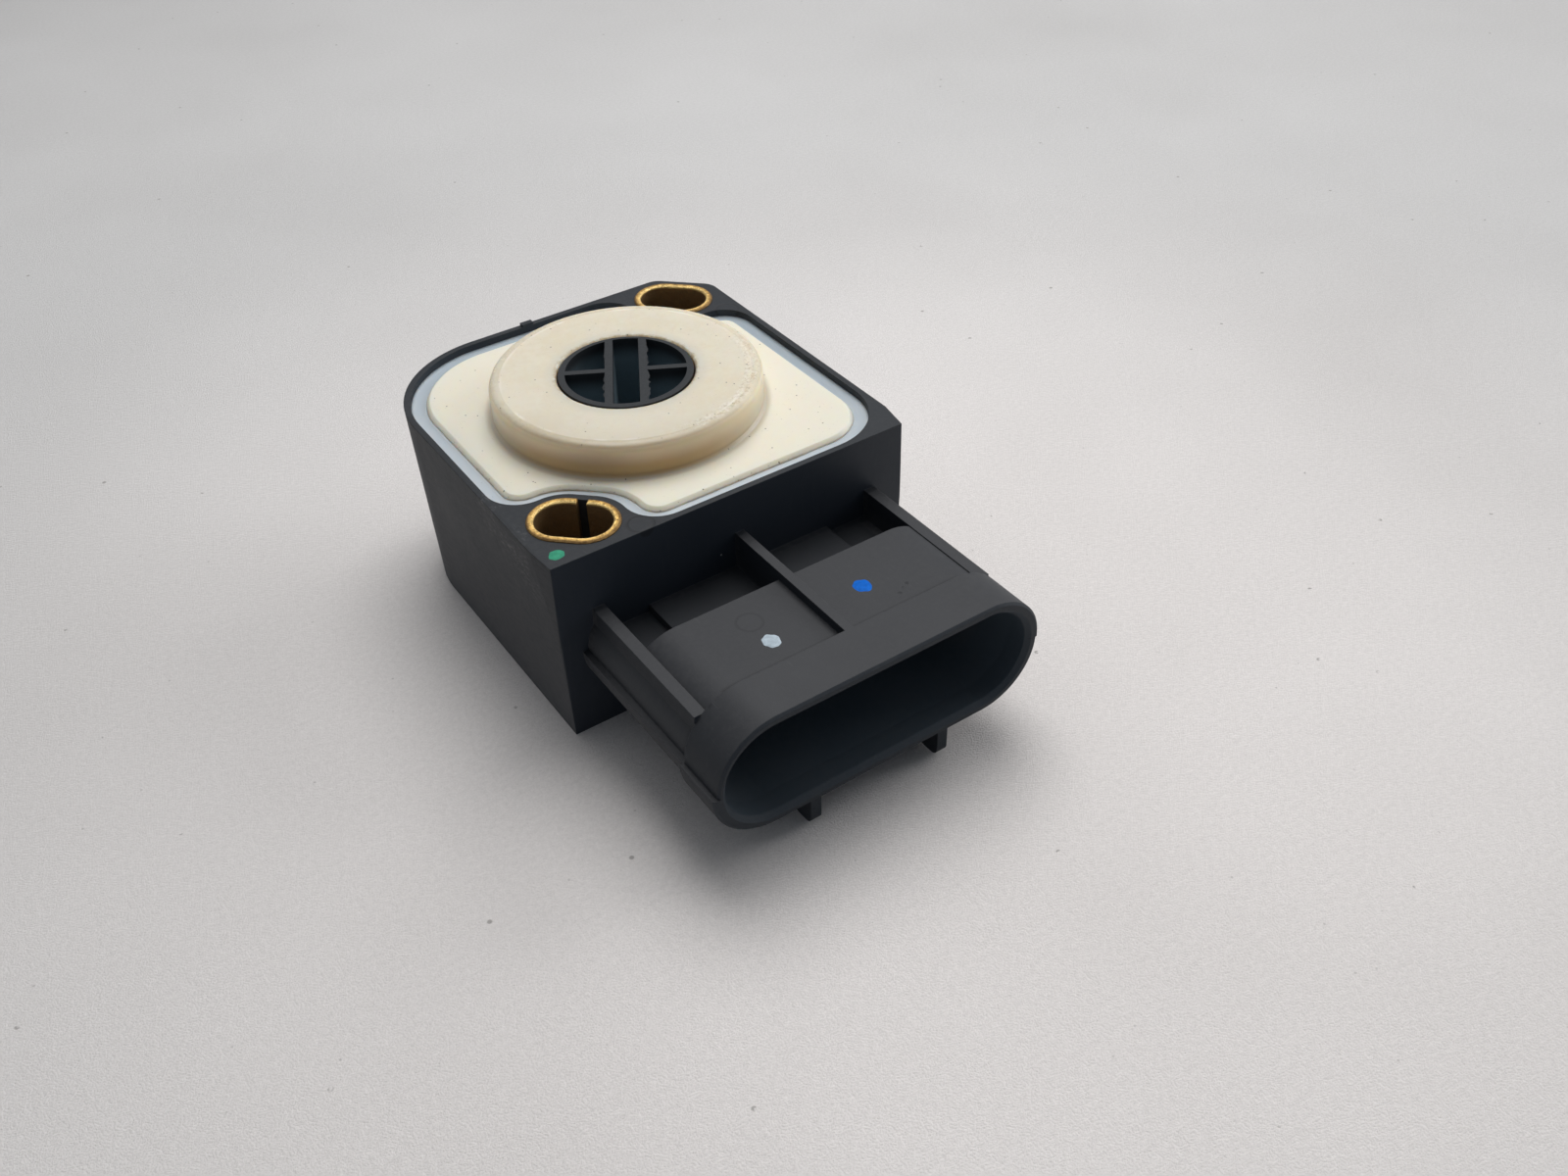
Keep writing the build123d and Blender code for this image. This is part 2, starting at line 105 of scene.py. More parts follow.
class Finish:  # a material, or the world, and the nodes in it
    def __init__(self, owner):
        self.owner = owner
        owner.use_nodes = True
        self.tree = owner.node_tree
        self.tree.nodes.clear()

    def node(self, kind, settings=None, sockets=None, out=0):
        made = self.tree.nodes.new("ShaderNode" + kind)
        for key, value in (settings or {}).items():
            setattr(made, key, value)
        for key, value in (sockets or {}).items():
            socket = made.inputs[key]
            if isinstance(value, Sock):
                self.tree.links.new(value.socket, socket)
            elif socket.type == "RGBA":
                socket.default_value = (*value, 1.0)
            else:
                socket.default_value = value
        return Sock(self, made.outputs[out]) if made.outputs else None

    def place(self, stretch=even):  # where a point is on the part, in millimetres
        spot = self.node("TexCoord", out="Object")
        return self.node("VectorMath", {"operation": "MULTIPLY"}, {0: spot, 1: [s / mm for s in stretch]})

    def axes(self):
        split = self.node("SeparateXYZ", {}, {0: self.place()})
        return [Sock(self, output) for output in split.socket.node.outputs]

    def larger(self, first, second):
        return self.node("Math", {"operation": "MAXIMUM"}, {0: first, 1: second})

    def unsigned(self, value):
        return self.node("Math", {"operation": "ABSOLUTE"}, {0: value})

    def slope(self, first, second):  # length across two runs at a right angle
        return self.node("Math", {"operation": "SQRT"}, {0: first * first + second * second})

    def dot(self, first, second):
        return self.node("VectorMath", {"operation": "DOT_PRODUCT"}, {0: first, 1: second}, out="Value")

    def distance(self, spot):  # from a place on the part, in millimetres
        return self.node("VectorMath", {"operation": "DISTANCE"}, {0: self.place(), 1: spot}, out="Value")

    def facing(self, way):  # 1 on faces that look straight along way
        return self.dot(self.node("TexCoord", out="Normal"), way)

    def clouds(self, scale, detail=2.0, rough=0.5, stretch=even):  # noise, scale is per millimetre
        sockets = {"Vector": self.place(stretch), "Scale": scale, "Detail": detail, "Roughness": rough}
        return self.node("TexNoise", {}, sockets)

    def specks(self, scale, size, spread="3D"):  # 1 in scattered dots; 2D has one in every cell from above
        sockets = {"Vector": self.place(), "Scale": scale}
        cells = self.node("TexVoronoi", {"voronoi_dimensions": spread}, sockets, out="Distance")
        return self.ramp(cells, size, size * patternShape["speckCore"])

    def ramp(self, value, low, high):  # 0 at low and 1 at high, smooth between
        sockets = {"Value": value, "From Min": low, "From Max": high}
        return self.node("MapRange", {"interpolation_type": "SMOOTHSTEP"}, sockets)

    def band(self, value, low, high, soft):  # 1 between low and high
        return self.ramp(value, low - soft, low) * self.ramp(value, high + soft, high)

    def mix(self, share, first, second):
        return self.node("Mix", {"data_type": "RGBA"}, {0: share, 6: first, 7: second}, out=2)

    def near(self, spot, reach):  # 1 close to one place on the part
        return self.ramp(self.distance(spot), reach, reach * patternShape["spotCore"])

    def ring(self, spot, radius, width):  # 1 on a thin circle round a place
        return self.band(self.distance(spot), radius - width / 2, radius + width / 2, width)

    def soft(self, reach):  # normals that round a sharp edge over this reach
        return self.node("Bevel", {"samples": patternShape["softSamples"]}, {"Radius": reach * mm})

    def edges(self, reach):  # 1 where a sharp edge is closer than reach
        flat = self.node("NewGeometry", out="Normal")
        return self.ramp(1 - self.dot(self.soft(reach), flat), *patternShape["edgeTurn"])

    def mixNormals(self, share, first, second):  # edges rounded by one reach here and another there
        sockets = {0: share, 4: self.soft(first), 5: self.soft(second)}
        return self.node("Mix", {"data_type": "VECTOR"}, sockets, out=1)

    def bump(self, height, depth, normal=None):  # depth in millimetres
        sockets = {"Strength": 1.0, "Distance": depth * mm, "Height": height}
        if normal:
            sockets["Normal"] = normal
        return self.node("Bump", {}, sockets)

    def surface(self, sockets):
        shader = self.node("BsdfPrincipled", {}, sockets)
        self.node("OutputMaterial", {}, {"Surface": shader})
        return self.owner


def newFinish(name):
    return Finish(bpy.data.materials.new(name))


def blend(first, second, share):  # a share of the first noise and the rest of the second
    return first * share + second * (1 - share)


def sway(cloud, amount):  # a noise as a swing about zero
    return (cloud - noiseMiddle) * amount


def atLeast(least, mask):  # a mask that starts at least instead of 0
    return least + (1 - least) * mask


def topOf(nodeName):  # how high a piece reaches, in millimetres
    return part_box(nodeName)[1].z / mm


def dress(nodeName, material):
    mesh = nodes[nodeName].data
    mesh.materials.clear()
    mesh.materials.append(material)


def finishMesh(name, body, smooth=True):
    mesh = bpy.data.meshes.new(name)
    body.to_mesh(mesh)
    body.free()
    for face in mesh.polygons:
        face.use_smooth = smooth
    piece = bpy.data.objects.new(name, mesh)
    bpy.context.scene.collection.objects.link(piece)
    return piece


# black moulded housing
housingLook = {
    "black": (0.0125, 0.0148, 0.0185),
    "matt": (0.0330, 0.0338, 0.0372),  # fine grained faces of the connector, and a painted sheen: the tops take all of it
    "mattSides": 0.36,  # how far its upright faces are like that
    # painted shade: the connector's upright faces are painted darker
    "uprightPaintedShade": (0.0105, 0.0145, 0.0200),
    "uprightShadeShare": 0.6,
    "shaded": (0.0245, 0.0310, 0.0415),  # painted light: faces towards the front are painted lighter and bluer than the black, a painted blue sheen
    # painted light: the inside of the opening is painted lighter and bluer
    "mouthPaintedLight": (0.0480, 0.0640, 0.0800),
    # painted shade: the lip's front face is painted darker
    "lip": (0.0175, 0.0225, 0.0290),
    # pale grey of dust, also used for the painted light low on the left side
    "dusty": (0.090, 0.090, 0.093),
    "rubbed": (0.070, 0.070, 0.073),
    "scuffed": (0.125, 0.125, 0.125),
    "dirtAndShade": (0.006, 0.006, 0.007),  # dirt in moulding lines and marks, and painted shade in the corner by the collar
    "lint": (0.45, 0.45, 0.44),
    "broad": (0.12, 4.0, 0.6),  # noises have a scale, detail, roughness and stretch
    "fine": (1.3, 5.0, 0.65),
    "grain": (7.0, 3.0, 0.6),
    "brushed": (1.1, 4.0, 0.6, (1.0, 0.5, 3.2)),
    "streaks": (1.0, 4.0, 0.6, (2.2, 2.2, 0.16)),
    "scratches": (0.9, 3.0, 0.5, (6.0, 0.35, 1.0)),
    "scuffs": (1.6, 5.0, 0.75, (1.0, 0.6, 1.6)),
    "lyingTurn": (0.3, 0.95),  # pairs are where a fade is 0 and where it is 1
    "sideTurn": (0.25, 0.98),
    "frontTurn": (0.4, 0.9),
    "connectorStart": (-25.0, -25.4),  # the connector is rougher than the box behind it
    "rimTop": 25.4,
    "rimEdge": (24.8, 25.2),
    "leftEdge": (-23.7, -24.0),
    "neckFront": (-45.4, -44.2),
    "lipStart": (-50.8, -51.2),
    "mouthHalf": 13.95,  # half the straight run of the opening
    "mouthLevel": 12.15,
    "mouthEdge": (7.05, 6.65),
    "mouthStart": (-45.8, -46.2),
    "deepEdge": (6.05, 5.85),
    "deepStart": (-34.0, -35.0),
    "panelBand": (18.4, 18.6, 0.1),  # bands have two ends and how soft these are
    "cornerBand": (-45.6, -44.7, 0.6),
    "cornerShare": 0.6,
    "seamBand": (12.16, 12.25, 0.06),  # where the two mould halves met
    "seamSide": (20.3, 20.5),
    "seamShare": 0.35,
    "pocketTop": (18.3, 17.9),
    "pocketFront": (-33.0, -32.5),
    "pocketSide": (17.2, 16.8),
    "pocketShare": 0.75,
    "dustBlend": 0.6,
    "dustLevels": (0.42, 0.66),
    "dustShare": 0.16,
    "connectorDust": 0.04,
    "wipedBlend": 0.7,
    "wipedLevels": (0.42, 0.62),
    "wipedShare": 0.26,
    "lowPaintedFill": 0.495,  # painted light: the left side is painted paler towards the floor, lifting the shade there
    "lowFillStreaks": 0.63,
    "rubbedReach": 0.22,
    "rubbedLevels": (0.35, 0.6),
    "rubbedShare": 0.45,
    "scratchLevels": (0.66, 0.74),
    "scratchShare": 0.2,
    "scuffSpots": [(-24.2, -17.0, 23.4), (-24.1, -14.2, 21.8), (-24.1, -19.0, 20.4), (-24.2, -9.5, 23.6)],
    "scuffReach": 3.2,
    "scuffLevels": (0.48, 0.72),
    "scuffShare": 0.6,
    "streakLevels": (0.5, 0.75),
    "streakShare": 0.07,
    "neckPaleTop": (16.5, 13.5),  # the left of the connector's neck is paler below this height
    "neckPaleShare": 0.12,
    "neckPalePatches": 0.36,
    "pinMarks": [((-12.0, -23.2, 25.4), 0.9), ((22.0, 11.5, 25.4), 0.8), ((-7.3, -37.3, 18.5), 0.4)],
    "pinRadius": 1.5,
    "pinWidth": 0.16,
    "scrapes": [((8.9, -43.0, 18.5), 0.32), ((9.8, -42.5, 18.5), 0.28), ((10.6, -42.1, 18.5), 0.3)],
    "scrapeLevels": (0.4, 0.6),
    "markShare": 0.6,
    "sootLevels": (0.4, 0.55),
    "sootShare": 0.5,
    "lintSpots": [(-17.2, -24.4, 14.2), (-13.3, -24.5, 14.6), (-2.6, -24.4, 17.4), (10.4, -30.5, 14.8)],
    "lintSize": 0.16,
    "rimRough": 0.56,
    "connectorRough": 0.60,
    "broadRough": 0.2,
    "fineRough": 0.12,
    "dustRough": 0.2,
    "grainDepth": 0.012,
    "fineDepth": 0.7,  # against the grain's
    "markDepth": 2.5,
    "softEdge": 0.15,
    "ior": 1.5,
    "specular": 0.3,
}


def blackPlastic(look):
    finish = newFinish("black_plastic")
    x, y, z = finish.axes()
    absX = finish.unsigned(x)
    broad = finish.clouds(*look["broad"])
    fine = finish.clouds(*look["fine"])
    brushed = finish.clouds(*look["brushed"])
    connector = finish.ramp(y, *look["connectorStart"])
    lying = finish.ramp(finish.facing(up), *look["lyingTurn"])
    front = finish.ramp(finish.facing(toFront), *look["frontTurn"])
    leftward = finish.ramp(finish.facing(toLeft), *look["sideTurn"])
    left = leftward * (1 - connector)
    leftEdge = finish.ramp(x, *look["leftEdge"]) * finish.ramp(z, *look["rimEdge"])

    # dust and wear, and painted light low on the left side
    dust = lying * finish.ramp(blend(fine, broad, look["dustBlend"]), *look["dustLevels"])
    dust = dust * (look["dustShare"] + look["connectorDust"] * connector)
    wiped = left * finish.ramp(blend(brushed, broad, look["wipedBlend"]), *look["wipedLevels"])
    low = 1 - z / look["rimTop"]
    # painted light: paler towards the floor on the left side
    lowPaintedFill = left * low * low * (look["lowPaintedFill"] + look["lowFillStreaks"] * brushed)
    scratches = finish.ramp(finish.clouds(*look["scratches"]), *look["scratchLevels"]) * lying
    streaks = finish.ramp(finish.clouds(*look["streaks"]), *look["streakLevels"]) * (1 - lying)
    neckSide = leftward * connector * finish.ramp(y, *look["neckFront"])
    neckPale = neckSide * finish.ramp(z, *look["neckPaleTop"]) * (look["neckPaleShare"] + look["neckPalePatches"] * fine)
    pale = dust + wiped * look["wipedShare"] + lowPaintedFill + scratches * look["scratchShare"]
    pale = pale + streaks * look["streakShare"] + neckPale
    rubbed = finish.edges(look["rubbedReach"]) * finish.ramp(fine, *look["rubbedLevels"])
    rubbed = rubbed * (1 - leftEdge) * look["rubbedShare"]
    scuffs = sum(finish.near(spot, look["scuffReach"]) for spot in look["scuffSpots"])
    scuffs = scuffs * finish.ramp(finish.clouds(*look["scuffs"]), *look["scuffLevels"]) * look["scuffShare"]

    # the connector's opening, painted lighter inside
    mouthX = finish.larger(absX - look["mouthHalf"], 0.0)
    mouthOut = finish.slope(mouthX, z - look["mouthLevel"])
    mouthPaintedLight = finish.ramp(mouthOut, *look["mouthEdge"]) * finish.ramp(y, *look["mouthStart"])
    deepMouth = finish.ramp(mouthOut, *look["deepEdge"]) * finish.ramp(y, *look["deepStart"])
    mouthPaintedLight = finish.larger(mouthPaintedLight, deepMouth)

    # moulding marks and dirt, and painted shade in the corner by the collar and on the pockets' floors
    panel = finish.band(z, *look["panelBand"]) * lying
    # painted shade: a dark line on the panel in the corner by the collar
    corner = panel * finish.band(y, *look["cornerBand"]) * connector
    seam = finish.band(z, *look["seamBand"]) * finish.ramp(absX, *look["seamSide"])
    seam = seam * connector * (1 - lying)
    # painted shade: the pockets' floors behind the panel are painted black
    pocketShade = finish.ramp(z, *look["pocketTop"]) * lying * connector
    pocketShade = pocketShade * finish.ramp(y, *look["pocketFront"]) * finish.ramp(absX, *look["pocketSide"])
    scrapes = sum(finish.near(spot, reach) for spot, reach in look["scrapes"])
    marks = scrapes * finish.ramp(fine, *look["scrapeLevels"])
    for spot, depth in look["pinMarks"]:
        marks = marks + finish.ring(spot, look["pinRadius"], look["pinWidth"]) * depth
    stainsAndShade = corner * look["cornerShare"] + marks * look["markShare"] + seam * look["seamShare"]
    stainsAndShade = stainsAndShade + leftEdge * finish.ramp(fine, *look["sootLevels"]) * look["sootShare"]
    lint = sum(finish.near(spot, look["lintSize"]) for spot in look["lintSpots"])

    # painted sheen: the connector's grained grey is laid fully on its tops and only partly on its upright
    # faces
    colour = finish.mix(connector * atLeast(look["mattSides"], lying), look["black"], look["matt"])
    # painted shade on the connector's upright faces
    colour = finish.mix(connector * (1 - lying) * look["uprightShadeShare"], colour, look["uprightPaintedShade"])
    # painted light: faces towards the front get the lighter, bluer colour
    colour = finish.mix(front * (1 - lying), colour, look["shaded"])
    # painted light inside the opening
    colour = finish.mix(mouthPaintedLight, colour, look["mouthPaintedLight"])
    # painted shade on the lip's front face
    colour = finish.mix(front * finish.ramp(y, *look["lipStart"]), colour, look["lip"])
    colour = finish.mix(pale, colour, look["dusty"])
    colour = finish.mix(rubbed, colour, look["rubbed"])
    colour = finish.mix(scuffs, colour, look["scuffed"])
    # dirt, and painted shade in the corner by the collar
    colour = finish.mix(stainsAndShade, colour, look["dirtAndShade"])
    # painted shade on the pockets' floors
    colour = finish.mix(pocketShade * look["pocketShare"], colour, look["black"])
    colour = finish.mix(lint, colour, look["lint"])
    rough = look["rimRough"] + (look["connectorRough"] - look["rimRough"]) * connector
    rough = rough + sway(broad, look["broadRough"]) + sway(fine, look["fineRough"]) + pale * look["dustRough"]
    height = finish.clouds(*look["grain"]) + fine * look["fineDepth"] - marks * look["markDepth"]
    return finish.surface({
        "Base Color": colour,
        "Roughness": rough,
        "Normal": finish.bump(height, look["grainDepth"], finish.soft(look["softEdge"])),
        "IOR": look["ior"],
        "Specular IOR Level": look["specular"],
    })


dress("housing", blackPlastic(housingLook))
print("housing dressed")


# cream cover with its boss
coverLook = {
    "cream": (0.82, 0.775, 0.655),
    "handled": (0.71, 0.64, 0.50),  # the boss's top is more worn than the plate
    "handledLeast": 0.55,
    "tan": (0.79, 0.69, 0.51),
    "tanPatches": 0.16,
    "tanLeast": 0.75,
    "sideShadeBrown": (0.68, 0.44, 0.18),  # painted shade: the front of the boss's side, turned from the light, is painted browner
    "sideShadeShare": 0.9,
    "edgeTan": (0.50, 0.42, 0.285),
    "lit": (0.95, 0.82, 0.60),  # light leaks out under the boss's top edge
    "stain": (0.42, 0.31, 0.165),
    "shaded": (0.60, 0.57, 0.50),
    # polished scuff flecks, and the painted highlight ring
    "polishedAndHighlight": (0.90, 0.86, 0.76),
    "grime": (0.07, 0.048, 0.026),
    "broad": (0.11, 3.0, 0.6),  # noises have a scale, detail, roughness and stretch
    "fine": (1.1, 4.0, 0.65),
    "flecks": (2.4, 4.0, 0.75),
    "ringBreaks": (0.2, 2.0, 0.5),
    "pepperFields": (0.45, 2.0, 0.5),
    "dents": (0.5, 2.0, 0.5),
    "scratches": (1.2, 3.0, 0.6, (0.4, 2.6, 1.0)),
    "plateTop": 25.1,
    "bossRadius": 16.7,
    "boreRadius": 8.5,
    # the front left, turned from the light, where shade is painted
    "shadeSideWay": (-0.55, -0.83),
    "shadeSideTurn": (0.35, 1.0),  # pairs are where a fade is 0 and where it is 1
    "scuffWay": (0.66, -0.75),
    "scuffTurn": (0.55, 0.9),
    "topFade": (-1.0, -0.3),  # up to turnInside, measured from the boss's top or side, the bore or the plate
    "sideBand": (-0.7, 0.1, 0.3),  # bands have two ends and how soft these are
    "sideStart": (-0.5, 0.0),
    "sideEnd": (0.0, -0.5),
    "edgeBand": (-1.2, 0.1, 0.3),
    "edgeFade": (-0.5, -0.2),
    "rootBand": (0.0, 0.5, 0.7),
    "rootFade": (0.9, 0.1),
    "boreFade": (0.7, 0.1),
    "boreShade": (2.0, 0.4),
    "plateEdge": (-0.03, -0.42),
    "plateFoot": (-0.3, -0.5),
    "leakBand": (-1.0, 0.1, 0.3),
    "leakStart": (1.3, 3.5),
    "leakEnd": (-0.2, -0.4),
    "outerTop": (-5.0, -1.0),
    "scuffBand": (-1.9, -0.9, 0.5),
    "ringBand": (-1.5, -1.35, 0.2),
    "turnStart": (1.0, 2.4),
    "turnInside": (-5.0, -3.0),
    "patchBlend": 0.6,
    "patchLevels": (0.42, 0.66),
    "boreShaded": 0.5,
    "topShadeShare": 0.2,
    "edgeShare": 0.1,
    "edgeShadeSide": 0.5,
    "outerShadeSide": 0.22,
    "brightFlecks": (0.5, 0.62),
    "brightShare": 0.6,
    "darkFlecks": (0.46, 0.36),
    "darkShare": 0.8,
    "ringLevels": (0.45, 0.62),
    "highlightShare": 0.5,
    "wornLevels": (0.45, 0.7),
    "wornShare": 0.18,
    "rootShare": 0.35,
    "edgeDirt": 0.2,
    "footDirt": 0.1,
    "footPatches": 0.35,
    "boreLevels": (0.35, 0.6),
    "boreDirt": 0.7,
    "fieldLevels": (0.49, 0.58),
    "pepper": [(0.34, 0.040, 0.9), (0.9, 0.045, 0.4)],  # scale, size and share
    "edgePepper": (1.9, 0.22),
    "edgePepperLevels": (0.5, 0.6),
    "edgePepperShare": 0.8,
    "platePepper": 0.8,
    "ringPepper": 1.6,
    "rough": 0.34,
    "broadRough": 0.2,
    "fineRough": 0.12,
    "dirtRough": 0.2,
    "edgeSmooth": 0.08,
    "bumpDepth": 0.025,
    "dentDepth": 0.6,  # against the bump's
    "fineDepth": 0.15,
    "fleckDepth": 1.6,
    "pepperDepth": 0.6,
    "scratchLevels": (0.64, 0.72),
    "scratchDepth": 0.2,
    "softEdge": 0.2,
    "softBoss": 1.5,
    "ior": 1.5,
    "glowWeight": 0.85,
    "glowTint": (1.0, 0.72, 0.42),
    "glow": 2.1,  # how far light wanders inside, in millimetres
}


def creamPlastic(look):
    finish = newFinish("cream_plastic")
    x, y, z = finish.axes()
    out = finish.slope(x, y)
    pastSide = out - look["bossRadius"]
    pastBore = out - look["boreRadius"]
    overPlate = z - look["plateTop"]
    overBoss = z - topOf("cover")
    shadeSideX, shadeSideY = look["shadeSideWay"]
    scuffX, scuffY = look["scuffWay"]
    broad = finish.clouds(*look["broad"])
    fine = finish.clouds(*look["fine"])
    flecks = finish.clouds(*look["flecks"])
    patches = finish.ramp(blend(broad, fine, look["patchBlend"]), *look["patchLevels"])

    # places on the cover
    bossTop = finish.ramp(overBoss, *look["topFade"])
    bossSide = finish.band(pastSide, *look["sideBand"]) * finish.ramp(overPlate, *look["sideStart"])
    bossSide = bossSide * finish.ramp(overBoss, *look["sideEnd"])
    bossEdge = finish.band(pastSide, *look["edgeBand"]) * finish.ramp(overBoss, *look["edgeFade"])
    bossRoot = finish.band(pastSide, *look["rootBand"]) * finish.ramp(overPlate, *look["rootFade"])
    boreEdge = finish.ramp(pastBore, *look["boreFade"])
    plateEdge = finish.ramp(overPlate, *look["plateEdge"])
    plateFoot = finish.ramp(overPlate, *look["plateFoot"])
    # the side turned from the light, where shade is painted
    shadeSide = finish.ramp((x * shadeSideX + y * shadeSideY) / out, *look["shadeSideTurn"])
    leak = finish.band(pastSide, *look["leakBand"]) * finish.ramp(overPlate, *look["leakStart"])
    leak = leak * finish.ramp(overBoss, *look["leakEnd"])
    outerTop = finish.ramp(pastSide, *look["outerTop"]) * bossTop
    scuffed = finish.ramp((x * scuffX + y * scuffY) / out, *look["scuffTurn"])
    scuffed = scuffed * finish.band(pastSide, *look["scuffBand"]) * bossTop
    ringLine = finish.band(pastSide, *look["ringBand"]) * bossTop

    # wear and dirt
    # the ring round the bore is painted greyer, and the front of the boss's top gets painted shade
    shaded = finish.ramp(pastBore, *look["boreShade"]) * look["boreShaded"]
    shaded = shaded + bossTop * shadeSide * look["topShadeShare"]
    bright = scuffed * finish.ramp(flecks, *look["brightFlecks"]) * look["brightShare"]
    dark = scuffed * finish.ramp(flecks, *look["darkFlecks"]) * look["darkShare"]
    # painted highlight: a broken pale ring just inside the boss's top edge
    brokenHighlight = finish.ramp(finish.clouds(*look["ringBreaks"]), *look["ringLevels"]) * ringLine
    worn = bossEdge * finish.ramp(fine, *look["wornLevels"])
    dirty = plateEdge * patches * look["edgeDirt"]
    dirty = dirty + plateFoot * (look["footDirt"] + look["footPatches"] * patches)
    dirty = dirty + boreEdge * finish.ramp(fine, *look["boreLevels"]) * look["boreDirt"]
    pepper = sum(finish.specks(scale, size, "2D") * share for scale, size, share in look["pepper"])
    pepper = pepper * finish.ramp(finish.clouds(*look["pepperFields"]), *look["fieldLevels"]) * (1 - bossSide)
    edgePepper = plateEdge * look["platePepper"] + boreEdge + ringLine * look["ringPepper"]
    edgePepper = edgePepper * finish.specks(*look["edgePepper"])
    edgePepper = edgePepper * finish.ramp(fine, *look["edgePepperLevels"])

    colour = finish.mix(bossTop * atLeast(look["handledLeast"], patches), look["cream"], look["handled"])
    colour = finish.mix(patches * look["tanPatches"], colour, look["tan"])
    # painted shade and ageing: the boss's side is painted tan, standing in for the warm shade of its
    # translucent side
    colour = finish.mix(bossSide * atLeast(look["tanLeast"], patches), colour, look["tan"])
    # painted shade on the front of the boss's side
    colour = finish.mix(bossSide * shadeSide * look["sideShadeShare"], colour, look["sideShadeBrown"])
    colour = finish.mix(leak, colour, look["lit"])
    colour = finish.mix(shaded, colour, look["shaded"])
    # painted shade: the boss's rounded edge and the outer top are painted tan, most on the front turned from
    # the light
    colour = finish.mix(bossEdge * (look["edgeShare"] + look["edgeShadeSide"] * shadeSide), colour, look["edgeTan"])
    colour = finish.mix(outerTop * shadeSide * look["outerShadeSide"], colour, look["edgeTan"])
    colour = finish.mix(bright, colour, look["polishedAndHighlight"])
    colour = finish.mix(dark, colour, look["edgeTan"])
    # painted highlight ring
    colour = finish.mix(brokenHighlight * look["highlightShare"], colour, look["polishedAndHighlight"])
    colour = finish.mix(worn * look["wornShare"] + bossRoot * look["rootShare"], colour, look["stain"])
    colour = finish.mix(dirty, colour, look["stain"])
    colour = finish.mix(pepper + edgePepper * look["edgePepperShare"], colour, look["grime"])
    rough = look["rough"] + sway(broad, look["broadRough"]) + sway(fine, look["fineRough"])
    rough = rough + dirty * look["dirtRough"] - bossEdge * look["edgeSmooth"]
    scratches = finish.ramp(finish.clouds(*look["scratches"]), *look["scratchLevels"]) * bossTop
    height = finish.clouds(*look["dents"]) * look["dentDepth"] + fine * look["fineDepth"]
    height = height + scuffed * flecks * look["fleckDepth"]
    height = height - edgePepper * look["pepperDepth"] - scratches * look["scratchDepth"]
    turning = finish.ramp(overPlate, *look["turnStart"]) * finish.ramp(pastSide, *look["turnInside"])
    rounded = finish.mixNormals(turning, look["softEdge"], look["softBoss"])
    return finish.surface({
        "Base Color": colour,
        "Roughness": rough,
        "Normal": finish.bump(height, look["bumpDepth"], rounded),
        "IOR": look["ior"],
        "Subsurface Weight": look["glowWeight"],
        "Subsurface Radius": look["glowTint"],
        "Subsurface Scale": look["glow"] * mm,
    })


dress("cover", creamPlastic(coverLook))
print("cover dressed")


# split brass sleeves
sleeveLook = {
    "brass": (0.78, 0.50, 0.16),
    "dull": (0.34, 0.20, 0.065),
    "brown": (0.21, 0.125, 0.055),
    "rubbed": (0.97, 0.72, 0.31),
    "fine": (3.0, 4.0, 0.7),  # noises have a scale, detail and roughness
    "tarnish": (0.9, 4.0, 0.75),
    "pits": (4.5, 3.0, 0.7),
    "dents": (1.2, 3.0, 0.6),
    "brightEdge": (-0.2, -0.45),  # below the sleeve's top, as only that edge is rubbed bright
    "middle": (17.7, 18.4),  # of the rear sleeve; the front one is turned half round
    "halfStraight": 1.35,
    "outerEdge": (3.68, 4.02),
    "outerRagged": 0.3,
    "innerEdge": (3.65, 3.37),
    "innerRagged": 0.2,
    "tarnishLevels": (0.42, 0.62),
    "pitLevels": (0.56, 0.68),
    "tarnishShare": 0.8,
    "rubbedShare": 0.7,
    "pitShare": 0.6,
    "outerShare": 0.85,
    "deepShare": 0.96,
    "glints": (3.2, 0.30),  # scale and size
    "rough": 0.30,
    "fineRough": 0.22,
    "deepRough": 0.1,
    "tarnishRough": 0.14,
    "outerRough": 0.15,
    "glintSmooth": 0.2,
    "bumpDepth": 0.11,
    "pitDepth": 0.8,  # against the bump's
    "glintHeight": 0.5,
    "softEdge": 0.1,
    "deepDirt": 0.35,  # how far dirt hides the metal below the edge
}


